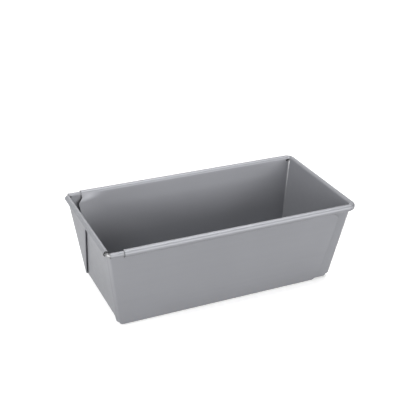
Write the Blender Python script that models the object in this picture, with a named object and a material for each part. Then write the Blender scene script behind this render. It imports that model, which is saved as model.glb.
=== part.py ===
"""Adjustable loaf pan: two folded sheet halves that telescope on their rolled rims.

Each half is one sheet, folded into a trough with one closed end. The corners of the closed end are envelope
folds: the spare sheet of a corner lies flat on the outside of the end wall as a double ear, and the rolled end
rim holds the tops of the ears. The inner half's side rims wrap over the outer half's smaller side rims. A wire
runs in the rolled rims of each half.

X runs along the pan, Z up, with the origin under the middle of the pan as it is pushed together. The outer
half's closed end is at -X, the inner half's at +X, and the inner half slides out along +X. Both halves are
laid out with the closed end at -X, and the inner one is then turned round.
"""

import math
from collections import namedtuple
from types import SimpleNamespace

import bmesh
import bpy
from mathutils import Vector

MM = 0.001

# Overall sizes
CLOSED_LENGTH = 210.0 * MM
RIM_WIDTH = 110.0 * MM
HEIGHT = 72.0 * MM
BASE_WIDTH = 81.0 * MM

# Sheet, wire and the clearances between them
SHEET = 0.5 * MM
CLEARANCE = 0.3 * MM
WIRE_DIAMETER = 2.4 * MM
WIRE_DROP = 0.2 * MM

# Folds, with radii measured on the outside of the sheet
BASE_BEND_RADIUS = 2.0 * MM
CORNER_BEND_RADIUS = 3.0 * MM
CORNER_FOOT_RADIUS = 4.2 * MM
FOLD_GAP = 0.2 * MM
SEAM_GAP = 0.15 * MM
EAR_GAP_FOOT = 0.7 * MM
EAR_GAP_TOP = 0.5 * MM
EAR_FOOT_HEIGHT = 2.6 * MM
EAR_REACH_SHARE = 0.92

# Open ends of the two halves
OUTER_WALL_SHORT = 15.2 * MM
INNER_WALL_SHORT = 11.3 * MM
RIM_CUTBACK = 4.5 * MM
SHOULDER_DEPTH = 9.9 * MM
SHOULDER_RISE = 3.3 * MM
BASE_CHAMFER = 5.0 * MM
BASE_CHAMFER_RISE = 4.4 * MM

# How far the side rims curl on after they are parallel with the wall again, and how far the end rims stop short
# of pointing straight down, to leave the ears room
OUTER_CURL_PAST = math.radians(30.0)
INNER_CURL_PAST = math.radians(12.0)
END_CURL_SHORT = math.radians(15.0)

# Points nearer to each other than this share of the sheet's thickness are one point
WELD_SHARE = 0.001

# Number of flat steps that stand for a round stretch
BASE_BEND_STEPS = 5
CORNER_STEPS = 6
FOLD_STEPS = 6
EAR_FOOT_STEPS = 5
CURL_STEPS = 20
RIM_CORNER_STEPS = 6
WIRE_BEND_STEPS = 8
WIRE_RESOLUTION = 4

# Finishes: colour, roughness and how metallic
COATING = (0.33, 0.335, 0.345)
COATING_ROUGHNESS = 0.38
COATING_METALLIC = 0.75
STEEL = (0.62, 0.63, 0.64)
STEEL_ROUGHNESS = 0.28
STEEL_METALLIC = 1.0
SHARP_ANGLE = math.radians(35.0)

# Middle of the sheet in the curls and bends, and the axes of the rims
outer_side_curl = WIRE_DIAMETER / 2 + CLEARANCE + SHEET / 2
inner_side_curl = outer_side_curl + SHEET + CLEARANCE
end_curl = WIRE_DIAMETER / 2 + CLEARANCE + WIRE_DROP + SHEET / 2
side_axis_y = RIM_WIDTH / 2 - inner_side_curl - SHEET / 2
side_axis_z = HEIGHT - inner_side_curl - SHEET / 2
end_axis_x = CLOSED_LENGTH / 2 - end_curl - SHEET / 2
bend_radius = BASE_BEND_RADIUS - SHEET / 2
corner_radius = CORNER_BEND_RADIUS - SHEET / 2
foot_radius = CORNER_FOOT_RADIUS - SHEET / 2


def wall_lean():
    """Angle by which every wall leans out, from the outer half's width at its base and at its rim."""
    spread = side_axis_y - BASE_WIDTH / 2
    wall_to_axis = outer_side_curl - SHEET / 2
    return math.atan2(spread, side_axis_z) - math.asin(wall_to_axis / math.hypot(spread, side_axis_z))


lean = wall_lean()
half_sheet = SHEET / 2 / math.cos(lean)
edge_fold = (SHEET + FOLD_GAP) / math.cos(lean) / 2
end_curl_end = END_CURL_SHORT - math.pi / 2

SheetPoint = namedtuple("SheetPoint", ["outside", "inside"])


def half_sizes(base_z, side_curl, end_axis_z, wire_z, wall_short, past):
    """Sizes of one half, measured on the middle of its sheet."""
    half = SimpleNamespace()
    half.base_z = base_z
    half.side_curl = side_curl
    half.end_axis_z = end_axis_z
    half.wire_z = wire_z
    half.side_top = side_axis_z + side_curl * math.sin(lean)
    half.end_top = end_axis_z + end_curl * math.sin(lean)
    half.bend_top = base_z + bend_radius * (1 - math.sin(lean))
    half.ear_foot = half.bend_top + EAR_FOOT_HEIGHT
    half.ear_top = wire_z - WIRE_DIAMETER / 2 - CLEARANCE
    half.curl_end = -math.pi / 2 - lean - past
    half.chamfer_top = base_z + BASE_CHAMFER_RISE
    half.shoulder_low = HEIGHT - SHOULDER_DEPTH
    half.shoulder_high = half.shoulder_low + SHOULDER_RISE
    half.wall_end = CLOSED_LENGTH / 2 - wall_short
    half.rim_end = half.wall_end - RIM_CUTBACK
    return half


outer = half_sizes(
    base_z=SHEET / 2,
    side_curl=outer_side_curl,
    end_axis_z=side_axis_z + WIRE_DROP,
    wire_z=side_axis_z,
    wall_short=OUTER_WALL_SHORT,
    past=OUTER_CURL_PAST,
)
inner = half_sizes(
    base_z=SHEET + CLEARANCE + SHEET / 2,
    side_curl=inner_side_curl,
    end_axis_z=HEIGHT - end_curl - SHEET / 2,
    wire_z=HEIGHT - end_curl - SHEET / 2 - WIRE_DROP,
    wall_short=INNER_WALL_SHORT,
    past=INNER_CURL_PAST,
)


def side_y(half, z):
    """Distance of a side wall's middle from the pan's centre plane at a height."""
    return side_axis_y - half.side_curl / math.cos(lean) - (side_axis_z - z) * math.tan(lean)


def end_x(half, z):
    """Place of the end wall's middle at a height."""
    return -(end_axis_x - end_curl / math.cos(lean) - (half.end_axis_z - z) * math.tan(lean))


def root_fold(half, z):
    """Radius of the fold between an ear and the end wall: the ear is held close at its top and springs off below."""
    share = max(z - half.ear_foot, 0.0) / (half.ear_top - half.ear_foot)
    gap = EAR_GAP_FOOT + (EAR_GAP_TOP - EAR_GAP_FOOT) * share
    return (SHEET + gap) / math.cos(lean) / 2


def fold_tuck(half, z):
    """How far the fold between ear and end wall reaches into the upright corner, as far as the corner has room."""
    radius = root_fold(half, z)
    across = corner_radius - 2 * edge_fold - radius
    reach = corner_radius - half_sheet - SEAM_GAP - half_sheet - radius
    return math.sqrt(max(reach * reach - across * across, 0.0))


def end_rim_y(half):
    """Half the length of the end wall's rolled rim, which reaches to the folds beside it."""
    return side_y(half, half.end_top) - corner_radius + fold_tuck(half, half.ear_top)


def bend_start_x(half, z):
    """Place where a side wall starts to bend round the upright corner, above the ear's foot."""
    return end_x(half, z) - 2 * edge_fold - 2 * root_fold(half, z) + corner_radius


def rim_turn_radius(half):
    """Radius of the inner half's rim corner, from the side rim's axis round to the end rim's."""
    return side_axis_y - end_rim_y(half)


def corner_lead(half):
    """How far before the upright corner's bend the rim has to start its own turn."""
    return rim_turn_radius(half) - end_axis_x - bend_start_x(half, half.end_top)


def ear_edge_y(half, z):
    """Place of the crease along an ear's free edge: straight, from the corner's foot to near the rim's middle."""
    foot_y = side_y(half, half.ear_foot) - corner_radius
    top_y = side_y(half, half.ear_top) * (1 - EAR_REACH_SHARE) + edge_fold
    return foot_y + (top_y - foot_y) * (z - half.ear_foot) / (half.ear_top - half.ear_foot)


def wall_edge_x(half, z):
    """Place of the sheet's open edge: it leans as the end walls do, and its foot is cut off at a slant."""
    edge = half.wall_end - (half.shoulder_low - max(z, half.chamfer_top)) * math.tan(lean)
    missing = max(half.chamfer_top - z, 0.0) / BASE_CHAMFER_RISE
    return edge - BASE_CHAMFER * missing


def arc(centre_x, centre_y, radius, start, end, steps):
    """Plan points along an arc, both ends included."""
    points = []
    for step in range(steps + 1):
        angle = start + (end - start) * step / steps
        points.append((centre_x + radius * math.cos(angle), centre_y + radius * math.sin(angle)))
    return points


def corner_section(wall_x, wall_y, radius, offset, fold=0.0, flap=0.0, back=0.0, second_fold=0.0):
    """Plan points of an upright corner from the side wall round to the end wall.

    After its bend the sheet runs on along the end by flap, folds back by the fold angle, returns by back and
    folds forward again round second_fold, so that it always ends on the end wall. Offset is the distance
    outwards from the middle of the sheet.
    """
    both_folds = edge_fold + second_fold
    reach = both_folds * (1 - math.cos(fold)) + back * math.sin(fold)
    bend_x = wall_x - reach + radius
    bend_y = wall_y - radius
    points = arc(bend_x, bend_y, radius + offset, math.pi / 2, math.pi, CORNER_STEPS)
    first_x = wall_x - reach + edge_fold
    first_y = bend_y - flap
    points += arc(first_x, first_y, edge_fold + offset, math.pi, math.pi + fold, FOLD_STEPS)
    second_x = first_x - both_folds * math.cos(fold) + back * math.sin(fold)
    second_y = first_y - both_folds * math.sin(fold) - back * math.cos(fold)
    points += arc(second_x, second_y, second_fold - offset, fold, 0.0, FOLD_STEPS)
    return points


def mirrored(points):
    """The same points on the other side of the pan, in the same order."""
    return [Vector((point.x, -point.y, point.z)) for point in points]


def full_row(half, edge_points, corner_points, corner_z):
    """A row round the whole half from one open edge to the other: walls, corners and end wall."""
    lead_x = corner_points[0][0] + corner_lead(half)
    row = [Vector(point) for point in edge_points]
    row.append(Vector((lead_x, corner_points[0][1], corner_z)))
    row += [Vector((x, y, corner_z)) for x, y in corner_points]
    end = Vector((corner_points[-1][0], 0.0, corner_z))
    return row + [end] + mirrored(row)[::-1]


def inner_column_x(half):
    """Place of the column of points behind the slanted foot of the open edge."""
    return wall_edge_x(half, half.base_z) - BASE_CHAMFER


def base_row(half, turn, side):
    """A row of the base bend, where the sheet has turned up by an angle, on the outside or inside face."""
    radius = bend_radius + side * SHEET / 2
    z = half.base_z + bend_radius - radius * math.cos(turn)
    offset = radius * math.sin(turn) - bend_radius * math.cos(lean)
    wall_x = end_x(half, half.bend_top)
    wall_y = side_y(half, half.bend_top)
    corner = corner_section(wall_x, wall_y, foot_radius, offset)
    y = wall_y + offset
    edge = [(wall_edge_x(half, z), y, z), (inner_column_x(half), y, z)]
    return full_row(half, edge, corner, z)


def wall_row(half, edge_z, corner_z, radius, fold, flap, back, side):
    """A row of the walls, on the outside or inside face of the sheet."""
    offset = side * half_sheet
    wall_x = end_x(half, corner_z)
    wall_y = side_y(half, corner_z)
    second_fold = root_fold(half, corner_z)
    corner = corner_section(wall_x, wall_y, radius, offset, fold, flap, back, second_fold)
    y = side_y(half, edge_z) + offset
    edge_x = half.rim_end if edge_z >= half.shoulder_high else wall_edge_x(half, edge_z)
    edge = [(edge_x, y, edge_z), (inner_column_x(half), y, edge_z)]
    return full_row(half, edge, corner, corner_z)


def foot_row(half, share, side):
    """A row between the base bend and the foot of the ears, where the folds open up out of the round corner."""
    edge_z = half.bend_top + (half.chamfer_top - half.bend_top) * share
    corner_z = half.bend_top + EAR_FOOT_HEIGHT * share
    radius = foot_radius + (corner_radius - foot_radius) * share
    fold = math.pi * share
    back = fold_tuck(half, corner_z) * (1 - math.cos(fold)) / 2
    return wall_row(half, edge_z, corner_z, radius, fold, 0.0, back, side)


def ear_row(half, edge_z, corner_z, side):
    """A row above the foot of the ears."""
    bend_y = side_y(half, corner_z) - corner_radius
    flap = bend_y - ear_edge_y(half, corner_z)
    back = flap + fold_tuck(half, corner_z)
    return wall_row(half, edge_z, corner_z, corner_radius, math.pi, flap, back, side)


def paired(make, *arguments):
    """Points of both faces of the sheet, in pairs."""
    outside = make(*arguments, 1)
    inside = make(*arguments, -1)
    return [SheetPoint(first, second) for first, second in zip(outside, inside)]


def mirrored_pairs(points):
    """Pairs of points on the other side of the pan."""
    outside = mirrored([point.outside for point in points])
    inside = mirrored([point.inside for point in points])
    return [SheetPoint(first, second) for first, second in zip(outside, inside)]


class Sheet:
    """Collects a folded sheet as two faces and the cut edge between them."""

    def __init__(self):
        self.mesh = bmesh.new()
        self.known = {}
        self.partners = {}

    def vertices(self, point):
        """The vertices at a pair of points, made once."""
        grain = SHEET * WELD_SHARE
        key = tuple(round(value / grain) for value in (*point.outside, *point.inside))
        if key not in self.known:
            outside = self.mesh.verts.new(point.outside)
            inside = self.mesh.verts.new(point.inside)
            self.known[key] = (outside, inside)
            self.partners[outside] = inside
        return self.known[key]

    def face(self, points):
        """A face on either side of the sheet, with repeated points left out."""
        pairs = []
        for point in points:
            pair = self.vertices(point)
            if pair not in pairs:
                pairs.append(pair)
        if len(pairs) > 2:
            self.mesh.faces.new([outside for outside, inside in pairs])
            self.mesh.faces.new([inside for outside, inside in reversed(pairs)])

    def strip(self, first, second):
        """Faces between two rows with as many points."""
        for index in range(len(first) - 1):
            self.face([first[index], first[index + 1], second[index + 1], second[index]])

    def close(self):
        """Cut edge of the sheet, wherever its outside face ends."""
        open_edges = []
        for edge in self.mesh.edges:
            if len(edge.link_faces) == 1 and all(vertex in self.partners for vertex in edge.verts):
                open_edges.append(edge)
        for edge in open_edges:
            first, second = edge.verts
            self.mesh.faces.new([first, second, self.partners[second], self.partners[first]])
        bmesh.ops.recalc_face_normals(self.mesh, faces=self.mesh.faces)


def add_tray(sheet, half):
    """Base, walls and ears. Gives back the row that the rims start from."""
    rows = []
    for step in range(BASE_BEND_STEPS + 1):
        rows.append(paired(base_row, half, (math.pi / 2 - lean) * step / BASE_BEND_STEPS))
    for step in range(1, EAR_FOOT_STEPS + 1):
        rows.append(paired(foot_row, half, step / EAR_FOOT_STEPS))
    rows.append(paired(ear_row, half, half.shoulder_low, half.shoulder_low))
    rows.append(paired(ear_row, half, half.shoulder_high, half.ear_top))
    for lower, upper in zip(rows, rows[1:]):
        sheet.strip(lower, upper)
    sheet.face(rows[0])
    return rows[-1]


def curl_points(centre, outward, radius, end, side):
    """Rolled section of a rim, from where it leaves the wall, up and over, to its end angle."""
    start = math.pi - lean
    face_radius = radius - side * SHEET / 2
    points = []
    for x, y in arc(0.0, 0.0, face_radius, start, end, CURL_STEPS):
        points.append(centre + outward * x + Vector((0.0, 0.0, y)))
    return points


def side_curl_at(half, x):
    """Rolled section of the +Y side rim at a place along the pan."""
    centre = Vector((x, side_axis_y, side_axis_z))
    return paired(curl_points, centre, Vector((0.0, 1.0, 0.0)), half.side_curl, half.curl_end)


def end_curl_at(half, y):
    """Rolled section of the end rim at a place across the pan."""
    centre = Vector((-end_axis_x, y, half.end_axis_z))
    return paired(curl_points, centre, Vector((-1.0, 0.0, 0.0)), end_curl, end_curl_end)


def corner_curls(half):
    """Rolled sections round a rim corner, passing from the side rim's size to the end rim's."""
    radius = rim_turn_radius(half)
    pivot = Vector((radius - end_axis_x, end_rim_y(half), 0.0))
    columns = []
    for step in range(1, RIM_CORNER_STEPS):
        share = step / RIM_CORNER_STEPS
        turn = math.pi / 2 * share
        outward = Vector((-math.sin(turn), math.cos(turn), 0.0))
        axis_z = side_axis_z + (half.end_axis_z - side_axis_z) * share
        curl = half.side_curl + (end_curl - half.side_curl) * share
        end = half.curl_end + (end_curl_end - half.curl_end) * share
        centre = pivot + outward * radius + Vector((0.0, 0.0, axis_z))
        columns.append(paired(curl_points, centre, outward, curl, end))
    return columns


def add_side_rims(sheet, top_row, columns, wall_columns):
    """A rolled rim on each side wall, with the stretch of wall that leads up to it."""
    wall = top_row[:wall_columns]
    tops = [column[0] for column in columns[:wall_columns]]
    sheet.strip(wall, tops)
    sheet.strip(mirrored_pairs(wall), mirrored_pairs(tops))
    for first, second in zip(columns, columns[1:]):
        sheet.strip(first, second)
        sheet.strip(mirrored_pairs(first), mirrored_pairs(second))


def add_rims(sheet, half, top_row, rounded):
    """Side rims and end rim, joined by rounded rim corners or left apart."""
    middle = len(top_row) // 2
    end_y = end_rim_y(half)
    end_columns = [end_curl_at(half, y) for y in (end_y, 0.0, -end_y)]
    sheet.strip(top_row[middle - 1 : middle + 2], [column[0] for column in end_columns])
    for first, second in zip(end_columns, end_columns[1:]):
        sheet.strip(first, second)
    xs = [half.rim_end, inner_column_x(half)]
    if rounded:
        xs.append(rim_turn_radius(half) - end_axis_x)
        columns = [side_curl_at(half, x) for x in xs] + corner_curls(half) + [end_columns[0]]
    else:
        xs += [bend_start_x(half, half.side_top) + corner_lead(half), bend_start_x(half, half.side_top)]
        columns = [side_curl_at(half, x) for x in xs]
    add_side_rims(sheet, top_row, columns, len(xs))


def make_material(name, colour, roughness, metallic):
    """A plain finish."""
    material = bpy.data.materials.new(name)
    material.use_nodes = True
    shader = material.node_tree.nodes["Principled BSDF"]
    shader.inputs["Base Color"].default_value = (*colour, 1)
    shader.inputs["Roughness"].default_value = roughness
    shader.inputs["Metallic"].default_value = metallic
    return material


def make_pan(name, half, rounded, turned, material):
    """The folded sheet of one half as an object."""
    sheet = Sheet()
    top_row = add_tray(sheet, half)
    add_rims(sheet, half, top_row, rounded)
    sheet.close()
    if turned:
        for vertex in sheet.mesh.verts:
            vertex.co.x = -vertex.co.x
            vertex.co.y = -vertex.co.y
    data = bpy.data.meshes.new(name)
    sheet.mesh.to_mesh(data)
    sheet.mesh.free()
    data.materials.append(material)
    data.shade_smooth()
    data.set_sharp_from_angle(angle=SHARP_ANGLE)
    pan = bpy.data.objects.new(name, data)
    bpy.context.collection.objects.link(pan)
    return pan


def wire_path(half, wire_end, turn_radius):
    """Centre line of a rim wire, from its end in one side rim round the closed end to the other side rim."""
    points = [Vector((wire_end, side_axis_y, half.wire_z))]
    pivot_x = turn_radius - end_axis_x
    pivot_y = side_axis_y - turn_radius
    for x, y in arc(pivot_x, pivot_y, turn_radius, math.pi / 2, math.pi, WIRE_BEND_STEPS):
        points.append(Vector((x, y, half.wire_z)))
    return points + mirrored(points)[::-1]


def make_wire(name, points, turned, material):
    """A round wire along points."""
    data = bpy.data.curves.new(name, "CURVE")
    data.dimensions = "3D"
    data.bevel_depth = WIRE_DIAMETER / 2
    data.bevel_resolution = WIRE_RESOLUTION
    data.use_fill_caps = True
    spline = data.splines.new("POLY")
    spline.points.add(len(points) - 1)
    sign = -1 if turned else 1
    for target, point in zip(spline.points, points):
        target.co = (sign * point.x, sign * point.y, point.z, 1)
    spline.use_smooth = True
    data.materials.append(material)
    wire = bpy.data.objects.new(name, data)
    bpy.context.collection.objects.link(wire)
    return wire


def make_outer_half(coating, steel):
    """Outer folded sheet and its rim wire, which is bare where it turns the two corners."""
    pan = make_pan("outer_pan", outer, rounded=False, turned=False, material=coating)
    turn_radius = end_axis_x + bend_start_x(outer, outer.side_top)
    points = wire_path(outer, outer.rim_end - CLEARANCE, turn_radius)
    wire = make_wire("outer_rim_wire", points, turned=False, material=steel)
    return [pan, wire]


def make_inner_half(coating, steel):
    """Inner folded sheet and its rim wire, whose ends stop the outer half's rims as the pan is closed."""
    pan = make_pan("inner_pan", inner, rounded=True, turned=True, material=coating)
    wire_end = -(outer.rim_end + CLEARANCE)
    points = wire_path(inner, wire_end, rim_turn_radius(inner))
    wire = make_wire("inner_rim_wire", points, turned=True, material=steel)
    return [pan, wire]


def main():
    """Build the pan, pushed together."""
    for old in list(bpy.data.objects):
        bpy.data.objects.remove(old, do_unlink=True)
    coating = make_material("silver_grey_coating", COATING, COATING_ROUGHNESS, COATING_METALLIC)
    steel = make_material("bright_steel", STEEL, STEEL_ROUGHNESS, STEEL_METALLIC)
    make_outer_half(coating, steel)
    slide = bpy.data.objects.new("slide", None)
    bpy.context.collection.objects.link(slide)
    for piece in make_inner_half(coating, steel):
        piece.parent = slide


main()
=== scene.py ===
"""Looks of the adjustable loaf pan: two folded sheet halves and the wires in their rolled rims.

Each half is modelled as the sheet is folded. Chains of points follow the middle of the sheet from its open
edge to the pan's centre plane, one chain for each height, and are bridged into walls. The rims are spun from
the tops of the walls, the other side is mirrored, and the sheet then gets its thickness. Both halves are laid
out with their closed end at -X, and the inner one is turned round before it is thickened.
"""

import logging
import math
from dataclasses import dataclass, field
from enum import Enum
from typing import Callable

import bmesh
import bpy
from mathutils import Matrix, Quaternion, Vector


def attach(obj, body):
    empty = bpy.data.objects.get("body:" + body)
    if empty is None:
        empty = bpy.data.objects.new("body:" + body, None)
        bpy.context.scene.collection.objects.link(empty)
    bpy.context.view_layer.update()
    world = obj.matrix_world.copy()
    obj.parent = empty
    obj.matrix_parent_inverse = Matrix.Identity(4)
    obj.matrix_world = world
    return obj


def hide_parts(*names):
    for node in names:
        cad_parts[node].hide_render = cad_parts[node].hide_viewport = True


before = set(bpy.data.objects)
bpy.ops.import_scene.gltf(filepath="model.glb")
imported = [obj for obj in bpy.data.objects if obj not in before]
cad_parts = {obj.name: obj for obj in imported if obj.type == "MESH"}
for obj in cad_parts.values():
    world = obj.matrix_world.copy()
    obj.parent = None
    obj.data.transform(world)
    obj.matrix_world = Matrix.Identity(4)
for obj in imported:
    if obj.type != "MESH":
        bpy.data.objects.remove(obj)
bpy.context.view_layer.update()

MM = 0.001
QUARTER = math.pi / 2
log = logging.getLogger("loaf_pan")

Colour = tuple[float, float, float]
Scales = tuple[float, float, float]
Socket = bpy.types.NodeSocket


class HalfKind(Enum):
    """The two halves of the pan."""

    OUTER = "outer"
    INNER = "inner"


class Slot(Enum):
    """Finishes that the record names."""

    COATING = "silver_grey_coating"
    STEEL = "bright_steel"


class Blend(Enum):
    """What a mix node blends."""

    COLOURS = "RGBA"
    NUMBERS = "FLOAT"


class Maths(Enum):
    """Ways in which two numbers are put together."""

    SUM = "ADD"
    PRODUCT = "MULTIPLY"
    LARGER = "MAXIMUM"


@dataclass(frozen=True)
class PanSizes:
    """Sizes that both halves share, in metres."""

    closed_length: float = 210.0 * MM
    rim_width: float = 110.0 * MM
    height: float = 72.0 * MM
    base_width: float = 81.0 * MM
    sheet: float = 0.5 * MM
    clearance: float = 0.3 * MM
    wire_diameter: float = 2.4 * MM
    wire_drop: float = 0.2 * MM
    base_bend: float = 2.0 * MM
    corner_bend: float = 3.0 * MM
    corner_foot: float = 3.2 * MM
    fold_gap: float = 0.2 * MM
    seam_gap: float = 0.15 * MM
    ear_gap_foot: float = 0.7 * MM
    ear_gap_top: float = 0.5 * MM
    ear_foot_height: float = 2.6 * MM
    ear_reach_share: float = 0.92
    base_chamfer: float = 5.0 * MM
    base_chamfer_rise: float = 4.4 * MM
    end_curl_short: float = math.radians(15.0)
    rim_overrun: float = 1.2 * MM
    spring_length: float = 25.0 * MM

    @property
    def outer_curl(self) -> float:
        """Radius of the outer half's side rims, to the middle of the sheet."""
        return self.wire_diameter / 2 + self.clearance + self.sheet / 2

    @property
    def inner_curl(self) -> float:
        """Radius of the inner half's side rims, which wrap over the outer half's."""
        return self.outer_curl + self.sheet + self.clearance

    @property
    def end_curl(self) -> float:
        """Radius of the end rims."""
        return self.wire_diameter / 2 + self.clearance + self.wire_drop + self.sheet / 2

    @property
    def side_axis_y(self) -> float:
        """Distance of the side rims' axis from the centre plane."""
        return self.rim_width / 2 - self.inner_curl - self.sheet / 2

    @property
    def side_axis_z(self) -> float:
        """Height of the side rims' axis."""
        return self.height - self.inner_curl - self.sheet / 2

    @property
    def end_axis_x(self) -> float:
        """Distance of the end rims' axis from the middle of the pan."""
        return self.closed_length / 2 - self.end_curl - self.sheet / 2

    @property
    def end_top_z(self) -> float:
        """Height of an end rim's axis whose rim reaches the pan's full height."""
        return self.height - self.end_curl - self.sheet / 2

    @property
    def base_radius(self) -> float:
        """Radius of the bend round the base, to the middle of the sheet."""
        return self.base_bend - self.sheet / 2

    @property
    def corner_radius(self) -> float:
        """Radius of the upright corners, to the middle of the sheet."""
        return self.corner_bend - self.sheet / 2

    @property
    def foot_radius(self) -> float:
        """Radius of the upright corners at their foot, to the middle of the sheet."""
        return self.corner_foot - self.sheet / 2

    @property
    def lean(self) -> float:
        """Angle by which every wall leans out.

        Returns:
            The angle from upright.
        """
        spread = self.side_axis_y - self.base_width / 2
        wall_to_axis = self.outer_curl - self.sheet / 2
        away = math.asin(wall_to_axis / math.hypot(spread, self.side_axis_z))
        return math.atan2(spread, self.side_axis_z) - away

    @property
    def half_sheet(self) -> float:
        """Half the sheet's thickness, measured level through a leaning wall."""
        return self.sheet / 2 / math.cos(self.lean)

    @property
    def edge_fold(self) -> float:
        """Radius of the fold along an ear's free edge."""
        return (self.sheet + self.fold_gap) / math.cos(self.lean) / 2


@dataclass(frozen=True)
class HalfSizes:
    """Sizes of one half, on the middle of its sheet.

    The walls stop short of the pan's other end by wall_short, and the rims by rim_cutback more. The open edge
    steps back under the rim over shoulder_rise. Springs are how far it has sprung inwards: halfway up, at the
    foot of that step and at its top.
    """

    pan: PanSizes
    kind: HalfKind
    base_z: float
    side_curl: float
    end_axis_z: float
    wire_z: float
    wall_short: float
    rim_cutback: float
    shoulder_depth: float
    shoulder_rise: float
    curl_past: float
    springs: tuple[float, float, float]

    @property
    def side_top(self) -> float:
        """Height at which a side rim leaves its wall."""
        return self.pan.side_axis_z + self.side_curl * math.sin(self.pan.lean)

    @property
    def end_top(self) -> float:
        """Height at which the end rim leaves its wall."""
        return self.end_axis_z + self.pan.end_curl * math.sin(self.pan.lean)

    @property
    def bend_top(self) -> float:
        """Height at which the bend round the base ends."""
        return self.base_z + self.pan.base_radius * (1 - math.sin(self.pan.lean))

    @property
    def ear_foot(self) -> float:
        """Height at which the ears are fully folded."""
        return self.bend_top + self.pan.ear_foot_height

    @property
    def ear_top(self) -> float:
        """Height of the ears' upper edge, just under the rim wire."""
        return self.wire_z - self.pan.wire_diameter / 2 - self.pan.clearance

    @property
    def curl_end(self) -> float:
        """Angle at which a side rim's curl ends."""
        return -QUARTER - self.pan.lean - self.curl_past

    @property
    def chamfer_top(self) -> float:
        """Height at which the slanted foot of the open edge ends."""
        return self.base_z + self.pan.base_chamfer_rise

    @property
    def shoulder_low(self) -> float:
        """Height at which the open edge starts to step back under the rim."""
        return self.pan.height - self.shoulder_depth

    @property
    def shoulder_high(self) -> float:
        """Height at which the open edge has stepped back."""
        return self.shoulder_low + self.shoulder_rise

    @property
    def wall_end(self) -> float:
        """Place of the open edge below the shoulder."""
        return self.pan.closed_length / 2 - self.wall_short

    @property
    def rim_end(self) -> float:
        """Place where the side rims end."""
        return self.wall_end - self.rim_cutback

    def side_y(self, z: float) -> float:
        """Distance of a side wall from the centre plane at a height."""
        out = self.side_curl / math.cos(self.pan.lean)
        return self.pan.side_axis_y - out - (self.pan.side_axis_z - z) * math.tan(self.pan.lean)

    def end_x(self, z: float) -> float:
        """Place of the end wall at a height."""
        out = self.pan.end_curl / math.cos(self.pan.lean)
        return out + (self.end_axis_z - z) * math.tan(self.pan.lean) - self.pan.end_axis_x

    def root_fold(self, z: float) -> float:
        """Radius of the fold between an ear and the end wall, wider at the foot.

        Args:
            z: Height.

        Returns:
            The radius, to the middle of the sheet.
        """
        share = max(z - self.ear_foot, 0.0) / (self.ear_top - self.ear_foot)
        gap = self.pan.ear_gap_foot + (self.pan.ear_gap_top - self.pan.ear_gap_foot) * share
        return (self.pan.sheet + gap) / math.cos(self.pan.lean) / 2

    def fold_tuck(self, z: float) -> float:
        """Room that the fold between ear and end wall takes inside the upright corner.

        Args:
            z: Height.

        Returns:
            How far the fold reaches into the corner.
        """
        radius = self.root_fold(z)
        across = self.pan.corner_radius - 2 * self.pan.edge_fold - radius
        reach = self.pan.corner_radius - 2 * self.pan.half_sheet - self.pan.seam_gap - radius
        return math.sqrt(max(reach * reach - across * across, 0.0))

    def end_rim_y(self) -> float:
        """Half the length of the end rim."""
        return self.side_y(self.end_top) - self.pan.corner_radius + self.fold_tuck(self.ear_top)

    def bend_start_x(self, z: float) -> float:
        """Place where a side wall starts to bend round the upright corner."""
        return self.end_x(z) - 2 * self.pan.edge_fold - 2 * self.root_fold(z) + self.pan.corner_radius

    def rim_turn_radius(self) -> float:
        """Radius of a rounded rim corner."""
        return self.pan.side_axis_y - self.end_rim_y()

    def corner_lead(self) -> float:
        """How far before the upright corner the rim has to start its own turn."""
        return self.rim_turn_radius() - self.pan.end_axis_x - self.bend_start_x(self.end_top)

    def ear_edge_y(self, z: float) -> float:
        """Place of the crease along an ear's free edge.

        Args:
            z: Height.

        Returns:
            Its distance from the centre plane.
        """
        foot_y = self.side_y(self.ear_foot) - self.pan.corner_radius
        top_y = self.side_y(self.ear_top) * (1 - self.pan.ear_reach_share) + self.pan.edge_fold
        return foot_y + (top_y - foot_y) * (z - self.ear_foot) / (self.ear_top - self.ear_foot)

    def wall_edge_x(self, z: float) -> float:
        """Place of the open edge below the shoulder.

        Args:
            z: Height.

        Returns:
            Its place along the pan.
        """
        edge = self.wall_end - (self.shoulder_low - max(z, self.chamfer_top)) * math.tan(self.pan.lean)
        missing = max(self.chamfer_top - z, 0.0) / self.pan.base_chamfer_rise
        return edge - self.pan.base_chamfer * missing

    def spring_x(self, edge_x: float, share: float) -> float:
        """Place of a point that lies a share of the way along the sprung stretch behind the open edge."""
        return edge_x + (self.wall_end - self.pan.spring_length - edge_x) * share


@dataclass(frozen=True)
class Straight:
    """A straight stretch of a chain, to a point."""

    to: Vector


@dataclass(frozen=True)
class Turn:
    """A round stretch of a chain, anticlockwise about an axis through a centre."""

    centre: Vector
    axis: Vector
    angle: float
    steps: int


Stretch = Straight | Turn


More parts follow.
